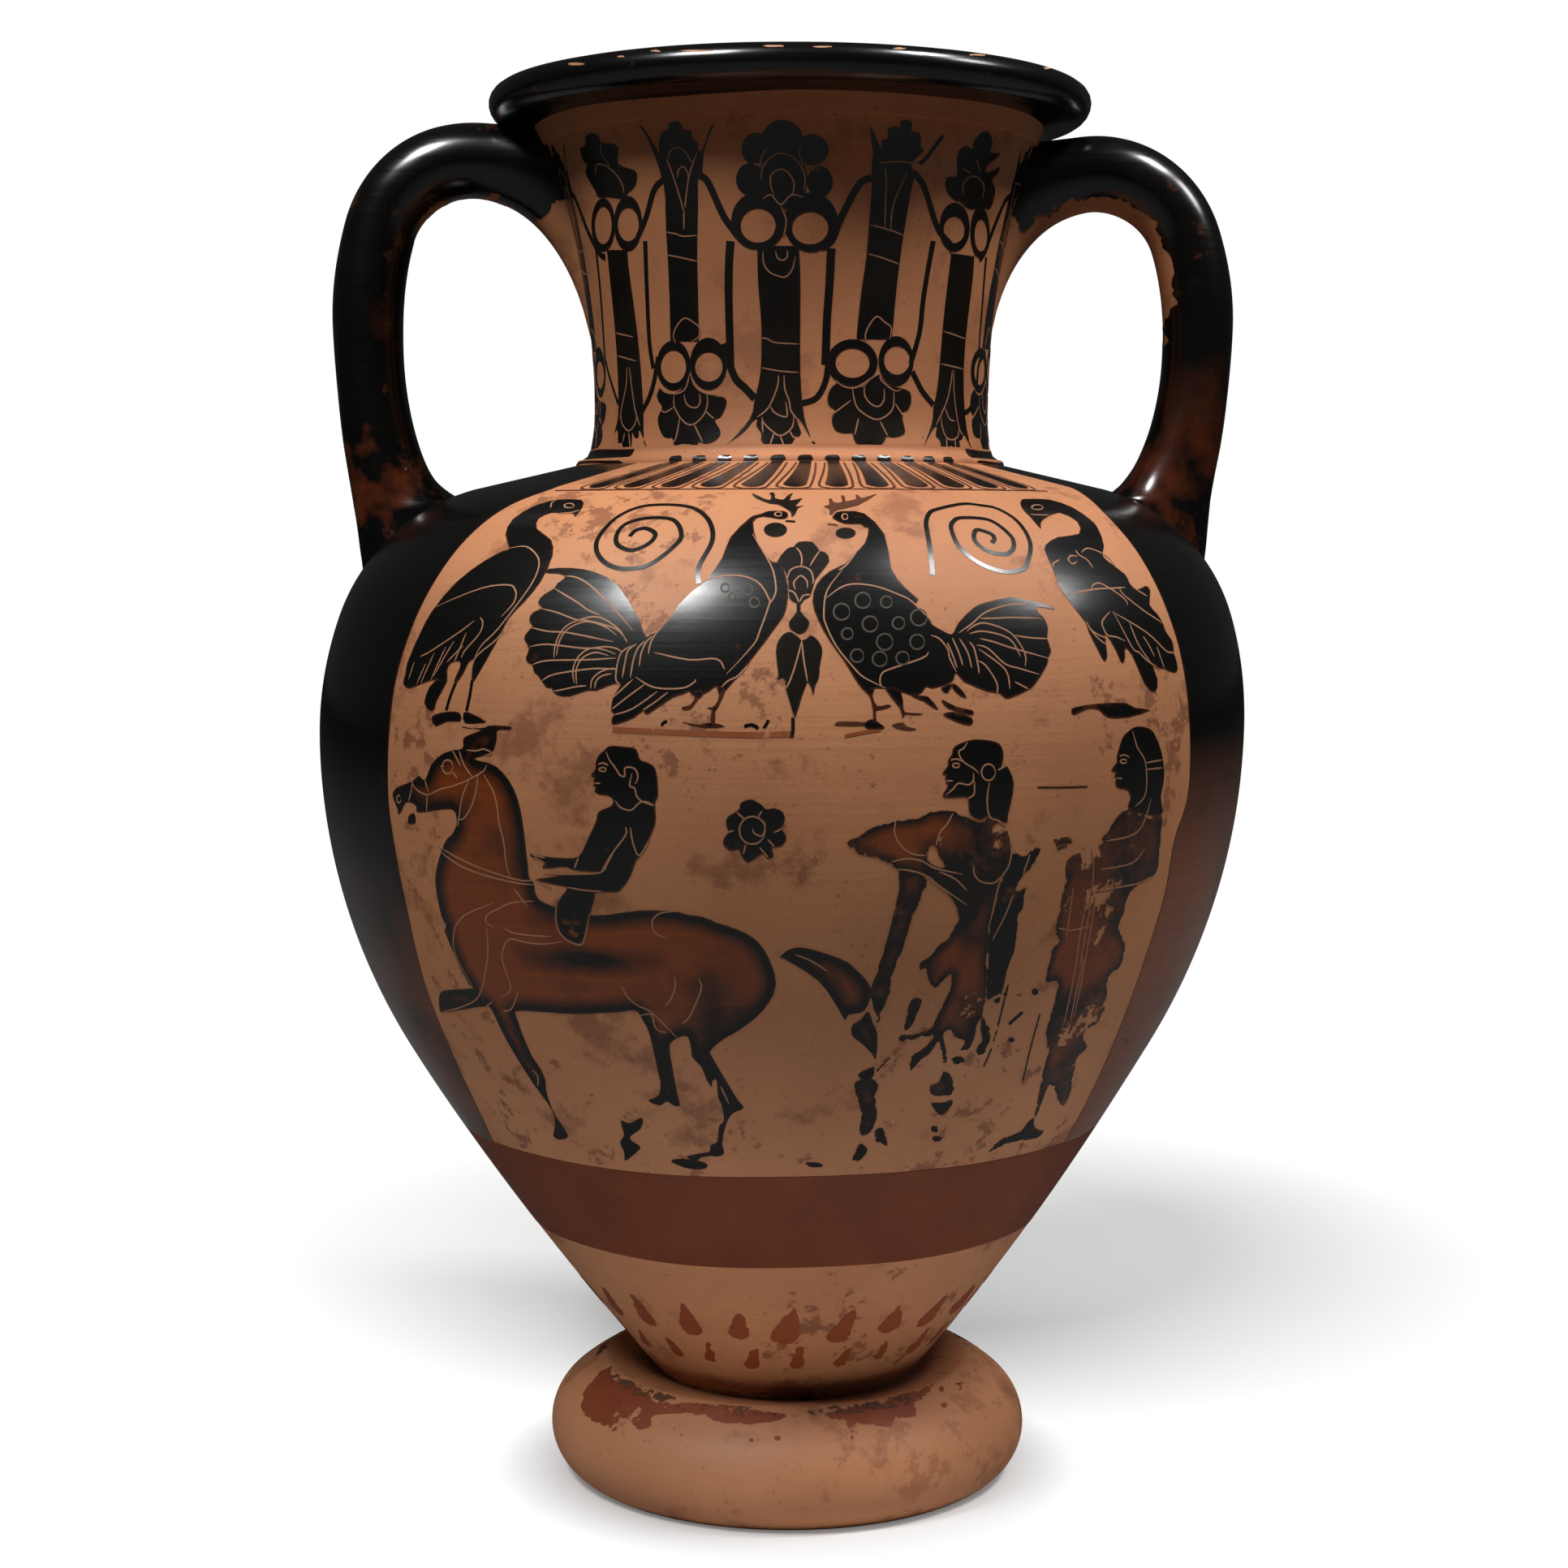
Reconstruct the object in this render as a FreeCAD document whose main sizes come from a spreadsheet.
import FreeCAD, Part
import Sketcher
import math
import os

# Terracotta neck-amphora, thrown in sections, with two pulled round handles.
# Millimetres, +Z up, origin at the centre of the resting ring.

# Driving sizes

SIZES = {
    "wall": 6.0,
    # foot, a fat cushion of clay with a groove where the body sits in it
    "foot_radius": 73.4,
    "foot_undercut": 8.4,
    "foot_widest_rise": 13.9,
    "foot_shoulder_rise": 13.3,
    "foot_shoulder_inset": 6.4,
    "foot_crest_rise": 6.8,
    "foot_crest_inset": 11.0,
    "groove_depth": 3.0,
    "groove_width": 1.0,
    "foot_seat_width": 13.0,
    "ring_face_width": 7.0,
    # body, each height above the one before it
    "body_base_radius": 40.0,
    "flank_rise": 104.5,
    "flank_inset": 25.9,
    "girth_rise": 94.5,
    "girth_radius": 139.5,
    "brow_rise": 33.8,
    "brow_inset": 5.3,
    "shoulder_rise": 37.4,
    "shoulder_inset": 38.8,
    "seat_rise": 7.2,
    # neck and its ring
    "neck_base_radius": 60.5,
    "neck_waist_inset": 1.2,
    "neck_waist_rise": 15.6,
    "neck_flare": 13.7,
    "neck_length": 95.0,
    "neck_ring_width": 4.5,
    "neck_ring_height": 4.8,
    "neck_ring_top_width": 1.6,
    # mouth
    "ridge_width": 1.2,
    "band_flare": 3.5,
    "band_rise": 5.5,
    "lip_under_width": 7.5,
    "lip_under_rise": 1.3,
    "lip_reach": 6.1,
    "lip_rise": 5.3,
    "rim_inset": 4.6,
    "rim_rise": 4.5,
    # handles
    "handle_radius": 10.6,
    "upper_root_radius": 12.5,
    "lower_root_radius": 15.5,
    "upper_root_drop": 6.0,
    "upper_root_depth": 15.0,
    "lower_root_depth": 34.3,
    "low_rise": 4.1,
    "left_crown_reach": 19.9,
    "left_crown_drop": 2.8,
    "left_outer_inset": 12.6,
    "left_outer_drop": 49.2,
    "left_low_inset": 3.7,
    "left_root_inset": 12.4,
    "right_crown_reach": 16.2,
    "right_crown_drop": 7.0,
    "right_outer_inset": 15.3,
    "right_outer_drop": 46.4,
    "right_low_inset": 4.3,
    "right_root_inset": 9.7,
}

# Where the handle turns over, as shares of its outer reach past the crown and its drop from it
turn_reach_share = 0.887
turn_drop_share = 0.442

# How near a flat face lies to a height to count as being there, as a share of the wall
near_share = 0.01


class Size:
    """A length that carries its value and the sheet expression it comes from."""

    def __init__(self, text, value):
        self.text = text
        self.value = value

    def __add__(self, other):
        return Size(f"({self.text} + {other.text})", self.value + other.value)

    def __sub__(self, other):
        return Size(f"({self.text} - {other.text})", self.value - other.value)

    def __mul__(self, share):
        return Size(f"({self.text} * {share})", self.value * share)


doc = FreeCAD.newDocument("amphora")
sheet = doc.addObject("Spreadsheet::Sheet", "Sizes")
for row, (name, value) in enumerate(SIZES.items(), start=1):
    sheet.set(f"A{row}", name)
    sheet.set(f"B{row}", str(value))
    sheet.setAlias(f"B{row}", name)
doc.recompute()

zero = Size("0", 0.0)
size = {name: Size(f"Sizes.{name}", value) for name, value in SIZES.items()}


# Outlines drawn as lines and tangent arcs

def arc_from(start, heading, end):
    """The arc that leaves start along heading and passes end: middle point, heading at end, turn."""
    across = (end[0] - start[0], end[1] - start[1])
    side = (-heading[1], heading[0])
    lean = across[0] * side[0] + across[1] * side[1]
    radius = (across[0] ** 2 + across[1] ** 2) / (2 * lean)
    centre = (start[0] + side[0] * radius, start[1] + side[1] * radius)
    first = math.atan2(start[1] - centre[1], start[0] - centre[0])
    last = math.atan2(end[1] - centre[1], end[0] - centre[0])
    turn = 1 if radius > 0 else -1
    sweep = (turn * (last - first)) % (2 * math.pi)
    middle = first + turn * sweep / 2
    radius = abs(radius)
    point = (centre[0] + radius * math.cos(middle), centre[1] + radius * math.sin(middle))
    leaving = (-turn * math.sin(last), turn * math.cos(last))
    return point, leaving, turn


def arc_to(start, heading, end):
    """The arc that arrives at end along heading: middle point, heading at start, turn."""
    point, leaving, turn = arc_from(end, (-heading[0], -heading[1]), start)
    return point, (-leaving[0], -leaving[1]), -turn


def line_heading(start, end):
    length = math.hypot(end[0] - start[0], end[1] - start[1])
    return ((end[0] - start[0]) / length, (end[1] - start[1]) / length)


def solve_outline(points, ways):
    """Find each segment's middle point, end headings and turn from the way it is drawn."""
    count = len(ways)
    spans = [None] * count
    while None in spans:
        for index, way in enumerate(ways):
            start = points[index]
            end = points[(index + 1) % len(points)]
            before = spans[index - 1] if index else None
            after = spans[(index + 1) % count]
            rising = 1.0 if end[1] > start[1] else -1.0
            outward = 1.0 if end[0] > start[0] else -1.0
            if spans[index] is not None:
                continue
            if way == "line":
                heading = line_heading(start, end)
                spans[index] = (None, heading, heading, 0)
            elif way == "upright start":
                middle, leaving, turn = arc_from(start, (0.0, rising), end)
                spans[index] = (middle, (0.0, rising), leaving, turn)
            elif way == "flat start":
                middle, leaving, turn = arc_from(start, (outward, 0.0), end)
                spans[index] = (middle, (outward, 0.0), leaving, turn)
            elif way == "upright end":
                middle, arriving, turn = arc_to(start, (0.0, rising), end)
                spans[index] = (middle, arriving, (0.0, rising), turn)
            elif way == "follow last" and before is not None:
                middle, leaving, turn = arc_from(start, before[2], end)
                spans[index] = (middle, before[2], leaving, turn)
            elif way == "meet next" and after is not None:
                middle, arriving, turn = arc_to(start, after[1], end)
                spans[index] = (middle, arriving, after[1], turn)
    return spans


def origin_plane(body, role):
    return next(item for item in body.Origin.OriginFeatures if item.Role == role)


def new_sketch(body, name, role):
    sketch = body.newObject("Sketcher::SketchObject", name)
    sketch.AttachmentSupport = [(origin_plane(body, role), "")]
    sketch.MapMode = "FlatFace"
    return sketch


def fix_coordinate(sketch, kind, other_axis, geometry, end, place):
    """Hold one coordinate of a point to a size, or put the point on the axis where it is zero."""
    if place.value == 0:
        sketch.addConstraint(Sketcher.Constraint("PointOnObject", geometry, end, other_axis))
        return
    number = sketch.addConstraint(Sketcher.Constraint(kind, -1, 1, geometry, end, place.value))
    sketch.setExpression(f"Constraints[{number}]", place.text)


def draw_outline(body, name, corners, closed=True):
    """Draw corners (reach, height, way to the next corner) in the upright plane."""
    sketch = new_sketch(body, name, "XZ_Plane")
    points = [(reach.value, height.value) for reach, height, way in corners]
    ways = [way for reach, height, way in corners]
    if not closed:
        ways = ways[:-1]
    spans = solve_outline(points, ways)
    ends = []
    for index, (middle, arriving, leaving, turn) in enumerate(spans):
        start = FreeCAD.Vector(*points[index], 0)
        end = FreeCAD.Vector(*points[(index + 1) % len(points)], 0)
        if middle is None:
            sketch.addGeometry(Part.LineSegment(start, end), False)
        else:
            sketch.addGeometry(Part.Arc(start, FreeCAD.Vector(*middle, 0), end), False)
        ends.append((1, 2) if turn >= 0 else (2, 1))
    for index, way in enumerate(ways):
        first, last = ends[index]
        following = (index + 1) % len(ways)
        joined = closed or index + 1 < len(ways)
        meets = way == "meet next" or (joined and ways[following] == "follow last")
        if joined:
            kind = "Tangent" if meets else "Coincident"
            sketch.addConstraint(Sketcher.Constraint(kind, index, last, following, ends[following][0]))
        if way in ("upright start", "upright end"):
            level = first if way == "upright start" else last
            sketch.addConstraint(Sketcher.Constraint("Horizontal", index, 3, index, level))
        if way == "flat start":
            sketch.addConstraint(Sketcher.Constraint("Vertical", index, 3, index, first))
        reach, height, _ = corners[index]
        fix_coordinate(sketch, "DistanceX", -2, index, first, reach)
        fix_coordinate(sketch, "DistanceY", -1, index, first, height)
    if not closed:
        reach, height, _ = corners[-1]
        fix_coordinate(sketch, "DistanceX", -2, len(ways) - 1, ends[-1][1], reach)
        fix_coordinate(sketch, "DistanceY", -1, len(ways) - 1, ends[-1][1], height)
    return sketch


def new_body(name):
    body = doc.addObject("PartDesign::Body", name)
    body.Label = name
    return body


def turn_outline(body, corners, name="turned"):
    """Turn a closed outline round the upright axis, as on the wheel."""
    sketch = draw_outline(body, name + "_outline", corners)
    turned = body.newObject("PartDesign::Revolution", name)
    turned.Profile = sketch
    turned.ReferenceAxis = (sketch, ["V_Axis"])
    turned.Angle = 360
    doc.recompute()
    return turned


def hollow_out(body, solid, open_heights):
    """Leave one wall all round, open at the flat faces that lie at the given heights."""
    faces = []
    for number, face in enumerate(solid.Shape.Faces, start=1):
        flat = isinstance(face.Surface, Part.Plane)
        height = face.CenterOfMass.z
        if flat and any(abs(height - level.value) < near_share * SIZES["wall"] for level in open_heights):
            faces.append(f"Face{number}")
    shell = body.newObject("PartDesign::Thickness", "wall")
    shell.Base = (solid, faces)
    shell.Reversed = True
    shell.setExpression("Value", "Sizes.wall")
    doc.recompute()
    return shell


# The outer line of the pot, from the ground up

foot_widest_height = size["foot_widest_rise"]
foot_shoulder_height = foot_widest_height + size["foot_shoulder_rise"]
foot_crest_height = foot_shoulder_height + size["foot_crest_rise"]
foot_height = foot_crest_height - size["groove_depth"]
foot_base_radius = size["foot_radius"] - size["foot_undercut"]
foot_shoulder_radius = size["foot_radius"] - size["foot_shoulder_inset"]
foot_crest_radius = foot_shoulder_radius - size["foot_crest_inset"]
foot_top_radius = size["body_base_radius"] + size["groove_width"]

flank_height = foot_height + size["flank_rise"]
girth_height = flank_height + size["girth_rise"]
brow_height = girth_height + size["brow_rise"]
shoulder_height = brow_height + size["shoulder_rise"]
seat_height = shoulder_height + size["seat_rise"]
brow_radius = size["girth_radius"] - size["brow_inset"]
shoulder_radius = brow_radius - size["shoulder_inset"]
seat_radius = size["neck_base_radius"] + size["neck_ring_width"]

ring_top = seat_height + size["neck_ring_height"]
neck_waist_radius = size["neck_base_radius"] - size["neck_waist_inset"]
neck_waist_height = seat_height + size["neck_waist_rise"]
neck_top_radius = neck_waist_radius + size["neck_flare"]
neck_top_height = seat_height + size["neck_length"]

band_radius = neck_top_radius + size["band_flare"]
band_height = neck_top_height + size["band_rise"]
lip_under_radius = band_radius + size["lip_under_width"]
lip_under_height = band_height + size["lip_under_rise"]
lip_radius = lip_under_radius + size["lip_reach"]
lip_height = lip_under_height + size["lip_rise"]
rim_radius = lip_radius - size["rim_inset"]
rim_height = lip_height + size["rim_rise"]

base = (size["body_base_radius"], foot_height)
girth = (size["girth_radius"], girth_height)

# The outer walls, shared by the pieces of the pot and by the handles that are luted on

lower_wall = [
    (*base, "meet next"),
    (size["girth_radius"] - size["flank_inset"], flank_height, "upright end"),
]
upper_wall = [
    (*girth, "upright start"),
    (brow_radius, brow_height, "follow last"),
    (shoulder_radius, shoulder_height, "line"),
    (seat_radius, seat_height, "line"),
]
neck_wall = [
    (size["neck_base_radius"], seat_height, "line"),
    (size["neck_base_radius"], ring_top, "upright end"),
    (neck_waist_radius, neck_waist_height, "upright start"),
]
mouth_wall = [
    (neck_top_radius + size["ridge_width"], neck_top_height, "line"),
    (band_radius, band_height, "line"),
    (lip_under_radius, lip_under_height, "upright end"),
    (lip_radius, lip_height, "upright start"),
]


# Foot

foot = new_body("foot")
turn_outline(foot, [
    (foot_base_radius, zero, "upright end"),
    (size["foot_radius"], foot_widest_height, "upright start"),
    (foot_shoulder_radius, foot_shoulder_height, "follow last"),
    (foot_crest_radius, foot_crest_height, "follow last"),
    (foot_top_radius, foot_height, "line"),
    (foot_top_radius - size["foot_seat_width"], foot_height, "flat start"),
    (foot_base_radius - size["ring_face_width"], zero, "line"),
])

# Body, thrown in two halves that meet at the girth

body_lower = new_body("body_lower")
bowl = turn_outline(body_lower, lower_wall + [
    (*girth, "line"),
    (zero, girth_height, "line"),
    (zero, foot_height, "line"),
])
hollow_out(body_lower, bowl, [girth_height])

body_upper = new_body("body_upper")
dome = turn_outline(body_upper, upper_wall + [
    (zero, seat_height, "line"),
    (zero, girth_height, "line"),
])
hollow_out(body_upper, dome, [girth_height])
opening = new_sketch(body_upper, "opening_circle", "XY_Plane")
bore = size["neck_base_radius"] - size["wall"]
opening.addGeometry(Part.Circle(FreeCAD.Vector(), FreeCAD.Vector(0, 0, 1), bore.value), False)
opening.addConstraint(Sketcher.Constraint("Coincident", 0, 3, -1, 1))
number = opening.addConstraint(Sketcher.Constraint("Radius", 0, bore.value))
opening.setExpression(f"Constraints[{number}]", bore.text)
mouth_hole = body_upper.newObject("PartDesign::Pocket", "opening")
mouth_hole.Profile = opening
mouth_hole.Type = 1
mouth_hole.Reversed = True
doc.recompute()

# Neck, a flaring tube that stands on the shoulder

neck = new_body("neck")
tube = turn_outline(neck, neck_wall + [
    (neck_top_radius, neck_top_height, "line"),
    (zero, neck_top_height, "line"),
    (zero, seat_height, "line"),
])
hollow_out(neck, tube, [neck_top_height, seat_height])

# Ring round the foot of the neck

neck_ring = new_body("neck_ring")
turn_outline(neck_ring, [
    (size["neck_base_radius"], seat_height, "line"),
    (seat_radius, seat_height, "upright start"),
    (size["neck_base_radius"] + size["neck_ring_top_width"], ring_top, "line"),
    (size["neck_base_radius"], ring_top, "line"),
])

# Mouth, flaring to a rounded lip

mouth = new_body("mouth")
turn_outline(mouth, mouth_wall + [
    (rim_radius, rim_height, "flat start"),
    (neck_top_radius - size["wall"], neck_top_height, "line"),
])


# Handles

def section_circle(body, name, role, radius, offset, sideways):
    """A round section of the handle, set square to the way the handle runs there."""
    sketch = new_sketch(body, name, role)
    sketch.AttachmentOffset = FreeCAD.Placement(FreeCAD.Vector(0, 0, offset.value), FreeCAD.Rotation())
    sketch.setExpression("AttachmentOffset.Base.z", offset.text)
    centre = (sideways.value, 0) if role == "XY_Plane" else (0, sideways.value)
    circle = Part.Circle(FreeCAD.Vector(*centre, 0), FreeCAD.Vector(0, 0, 1), radius.value)
    sketch.addGeometry(circle, False)
    along = "DistanceX" if role == "XY_Plane" else "DistanceY"
    other_axis = -1 if role == "XY_Plane" else -2
    sketch.addConstraint(Sketcher.Constraint("PointOnObject", 0, 3, other_axis))
    number = sketch.addConstraint(Sketcher.Constraint(along, -1, 1, 0, 3, sideways.value))
    sketch.setExpression(f"Constraints[{number}]", sideways.text)
    number = sketch.addConstraint(Sketcher.Constraint("Radius", 0, radius.value))
    sketch.setExpression(f"Constraints[{number}]", radius.text)
    return sketch


def pull_handle(side, turned_round):
    """A round handle from the shoulder up and over to the neck, cut to sit on both."""
    body = new_body(f"handle_{side}")
    crown = (neck_top_radius + size[f"{side}_crown_reach"], neck_top_height - size[f"{side}_crown_drop"])
    outer = (size["girth_radius"] - size[f"{side}_outer_inset"], crown[1] - size[f"{side}_outer_drop"])
    low = (outer[0] - size[f"{side}_low_inset"], seat_height + size["low_rise"])
    lower_root = (outer[0] - size[f"{side}_root_inset"], shoulder_height - size["lower_root_depth"])
    upper_root = (neck_top_radius - size["upper_root_depth"], crown[1] - size["upper_root_drop"])
    over = (
        crown[0] + (outer[0] - crown[0]) * turn_reach_share,
        crown[1] - (crown[1] - outer[1]) * turn_drop_share,
    )
    path = draw_outline(body, "path", [
        (*lower_root, "meet next"),
        (*low, "upright end"),
        (*outer, "upright start"),
        (*over, "follow last"),
        (*crown, "follow last"),
        (*upper_root, ""),
    ], closed=False)
    start = section_circle(body, "lower_root", "XY_Plane", size["lower_root_radius"],
                           lower_root[1], lower_root[0])
    sections = [
        section_circle(body, "low", "XY_Plane", size["handle_radius"], low[1], low[0]),
        section_circle(body, "outer", "XY_Plane", size["handle_radius"], outer[1], outer[0]),
        section_circle(body, "crown", "YZ_Plane", size["handle_radius"], crown[0], crown[1]),
        section_circle(body, "upper_root", "YZ_Plane", size["upper_root_radius"],
                       upper_root[0], upper_root[1]),
    ]
    doc.recompute()
    pipe = body.newObject("PartDesign::AdditivePipe", "pulled")
    pipe.Profile = start
    pipe.Spine = (path, ["Edge1", "Edge2", "Edge3", "Edge4", "Edge5"])
    pipe.Sections = [(section, [""]) for section in sections]
    pipe.Transformation = "Multisection"
    doc.recompute()
    cut = draw_outline(body, "pot_outline", lower_wall + upper_wall + neck_wall + [
        (neck_top_radius, neck_top_height, "line"),
    ] + mouth_wall + [
        (rim_radius, rim_height, "line"),
        (zero, rim_height, "line"),
        (zero, foot_height, "line"),
    ])
    seat_cut = body.newObject("PartDesign::Groove", "seats")
    seat_cut.Profile = cut
    seat_cut.ReferenceAxis = (cut, ["V_Axis"])
    seat_cut.Angle = 360
    doc.recompute()
    body.Placement = FreeCAD.Placement(FreeCAD.Vector(), FreeCAD.Rotation(turned_round, 0, 0))
    doc.recompute()
    print(f"handle_{side}: pulled {pipe.Shape.Volume:.0f} mm3, seated {seat_cut.Shape.Volume:.0f} mm3,"
          f" solids {len(seat_cut.Shape.Solids)}")
    return body


half_turn = 180.0
handle_left = pull_handle("left", half_turn)
handle_right = pull_handle("right", 0.0)

# Check and write every piece

doc.recompute()
for item in doc.Objects:
    if "Invalid" in item.State or "Error" in item.State:
        raise RuntimeError(f"{item.Name} failed: {item.State}")

os.makedirs("parts", exist_ok=True)
for body in (foot, body_lower, body_upper, neck, neck_ring, mouth, handle_left, handle_right):
    shape = body.Shape
    if shape.isNull() or not shape.isValid() or len(shape.Solids) != 1:
        raise RuntimeError(f"{body.Label} is not one valid solid")
    shape.exportStep(f"parts/{body.Label}.step")
    box = shape.BoundBox
    print(f"{body.Label}: {shape.Volume:.0f} mm3, z {box.ZMin:.1f} to {box.ZMax:.1f}")
